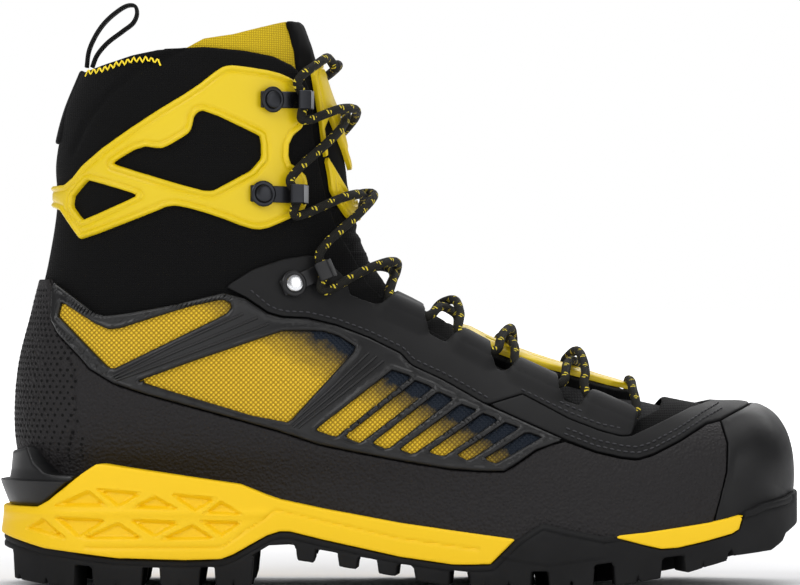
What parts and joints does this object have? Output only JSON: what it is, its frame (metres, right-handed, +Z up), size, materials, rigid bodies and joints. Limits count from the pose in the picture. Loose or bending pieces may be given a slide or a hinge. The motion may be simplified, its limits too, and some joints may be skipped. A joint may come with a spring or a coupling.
{
  "type": "mountaineering boot",
  "caption": "Stiff mountaineering boot for the right foot, laced up, with a lugged sole, rubber rand, caged ankle, sprung tongue and a pull loop",
  "frame": {"origin": "on the ground under the middle of the boot", "axes": "+X towards the toe, +Y towards the inner (medial) side, +Z up"},
  "size_m": [0.3104, 0.1048, 0.2261],
  "materials": {
    "sole_rubber": "moulded, matte",
    "yellow_foam": "moulded, satin",
    "yellow_plastic": "moulded, satin",
    "black_plastic": "moulded, satin",
    "softshell_fabric": "knitted softshell",
    "rand_rubber": "pebbled",
    "woven_mesh": "woven",
    "microfibre": "matte microfibre",
    "lining_fabric": "brushed lining",
    "footbed_foam": "foam faced with cloth",
    "board": "fibre board",
    "composite": "glass-filled",
    "gunmetal": "gunmetal",
    "steel": "brushed",
    "webbing": "flat webbing",
    "lace_cord": "braided, flecked"
  },
  "bodies": {
    "boot": {"outsole": "sole_rubber", "midsole": "yellow_foam", "heel_crampon_ledge": "black_plastic", "shank_plate": "composite", "insole_board": "board", "footbed": "footbed_foam", "heel_stiffener": "composite", "toe_puff": "composite", "lining_bootie": "lining_fabric", "collar_padding": "footbed_foam", "softshell_upper": "softshell_fabric", "rand": "rand_rubber", "toe_cap": "sole_rubber", "vamp_strip": "microfibre", "ankle_cage": "yellow_plastic", "tongue_lower": "softshell_fabric", "tongue_lower_plate": "yellow_plastic", "back_tape": "microfibre", "lace": "lace_cord", "lace_aglet_outer": "black_plastic", "lace_aglet_inner": "black_plastic", "side_mesh_lateral": "woven_mesh", "side_cage_lateral": "black_plastic", "lace_facing_lateral": "microfibre", "ankle_lock_hook_lateral": "gunmetal", "ankle_lock_hook_rivet_lateral": "steel", "lower_speed_hook_lateral": "gunmetal", "lower_speed_hook_rivet_lateral": "gunmetal", "upper_speed_hook_lateral": "gunmetal", "upper_speed_hook_rivet_lateral": "gunmetal", "side_mesh_medial": "woven_mesh", "side_cage_medial": "black_plastic", "lace_facing_medial": "microfibre", "ankle_lock_hook_medial": "gunmetal", "ankle_lock_hook_rivet_medial": "steel", "lower_speed_hook_medial": "gunmetal", "lower_speed_hook_rivet_medial": "gunmetal", "upper_speed_hook_medial": "gunmetal", "upper_speed_hook_rivet_medial": "gunmetal"},
    "tongue": {"tongue_upper": "softshell_fabric", "tongue_upper_plate": "yellow_plastic"},
    "pull_loop": {"pull_loop": "webbing"}
  },
  "joints": [
    {"name": "tongue_flex", "type": "hinge", "parent": "boot", "child": "tongue", "pos_m": [-0.03375, 0.0014, 0.137], "axis": [0, -1, 0], "range_deg": [0, 10], "stiffness_Nm_per_rad": 0.6},
    {"name": "pull_loop_flex", "type": "hinge", "parent": "boot", "child": "pull_loop", "pos_m": [-0.12075, 0.0014, 0.2019], "axis": [0, -1, 0], "range_deg": [-8, 34], "stiffness_Nm_per_rad": 0.03}
  ]
}
